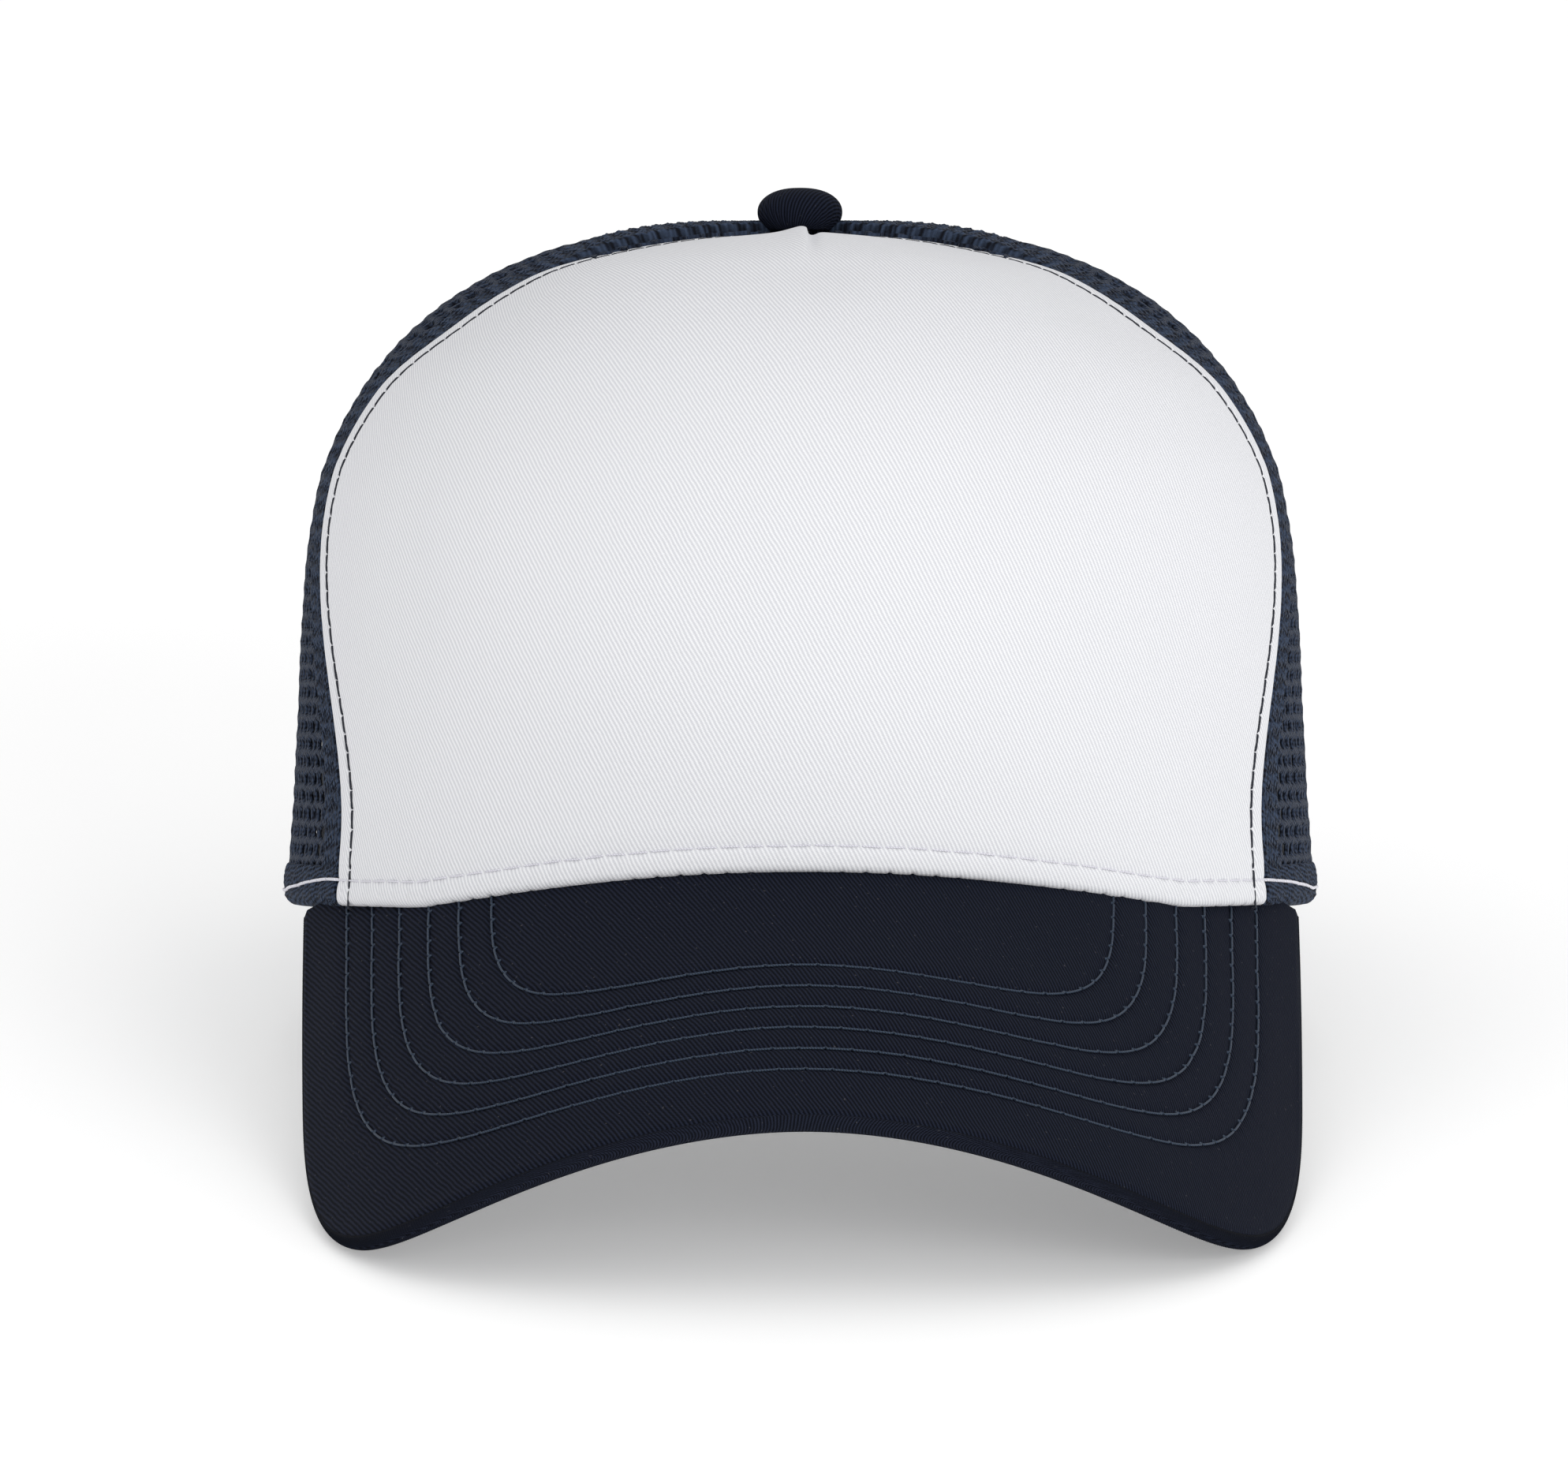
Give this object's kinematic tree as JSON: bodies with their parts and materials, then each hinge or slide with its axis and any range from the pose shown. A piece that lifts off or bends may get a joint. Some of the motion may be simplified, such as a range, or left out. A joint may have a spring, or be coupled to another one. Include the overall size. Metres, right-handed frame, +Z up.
{
  "type": "trucker mesh cap",
  "caption": "Trucker cap with a structured white twill front panel, navy net sides and rear, a curved stitched navy brim, a covered button and a snap strap closure.",
  "frame": {"origin": "bottom centre of the cap's box as it stands on its brim tips and rear hem", "axes": "+Z up, brim towards -Y, X across the head; the cap is symmetric about X = 0 apart from its straps and label"},
  "size_m": [0.176, 0.2548, 0.1426],
  "materials": {
    "white_twill": "matte cotton twill",
    "lining": "stiff open-weave buckram",
    "navy_mesh": "knitted polyester net",
    "navy_twill": "matte cotton twill, slate-blue stitching",
    "navy_tape": "woven seam tape",
    "sweatband": "soft brushed cotton",
    "brim_board": "matte polyethylene sheet",
    "strap_plastic": "satin moulded plastic",
    "button_metal": "plain pressed metal",
    "label": "blank woven label"
  },
  "bodies": {
    "cap": {"front_panel": "white_twill", "front_panel_lining": "lining", "side_mesh_left": "navy_mesh", "side_mesh_right": "navy_mesh", "rear_mesh_left": "navy_mesh", "rear_mesh_right": "navy_mesh", "front_seam_tape_left": "navy_tape", "front_seam_tape_right": "navy_tape", "side_seam_tape_left": "navy_tape", "side_seam_tape_right": "navy_tape", "centre_seam_tape": "navy_tape", "arch_binding": "navy_tape", "brim_top_cover": "navy_twill", "brim_board": "brim_board", "brim_under_cover": "navy_twill", "sweatband": "sweatband", "size_label": "label", "hole_strap_tab": "strap_plastic", "peg_strap_tab": "strap_plastic", "button_cover": "navy_twill", "button_core": "button_metal", "button_washer": "button_metal"},
    "hole_strap": {"hole_strap": "strap_plastic"},
    "peg_strap": {"peg_strap": "strap_plastic"}
  },
  "joints": [
    {"name": "hole_strap_swing", "type": "hinge", "parent": "cap", "child": "hole_strap", "pos_m": [-0.0375, 0.10822, 0.01358], "axis": [0, 0.248, 0.9687], "range_deg": [0, 90], "stiffness_Nm_per_rad": 0.02},
    {"name": "peg_strap_swing", "type": "hinge", "parent": "cap", "child": "peg_strap", "pos_m": [0.0375, 0.10822, 0.01358], "axis": [0, 0.248, 0.9687], "range_deg": [0, 45], "stiffness_Nm_per_rad": 0.02}
  ]
}
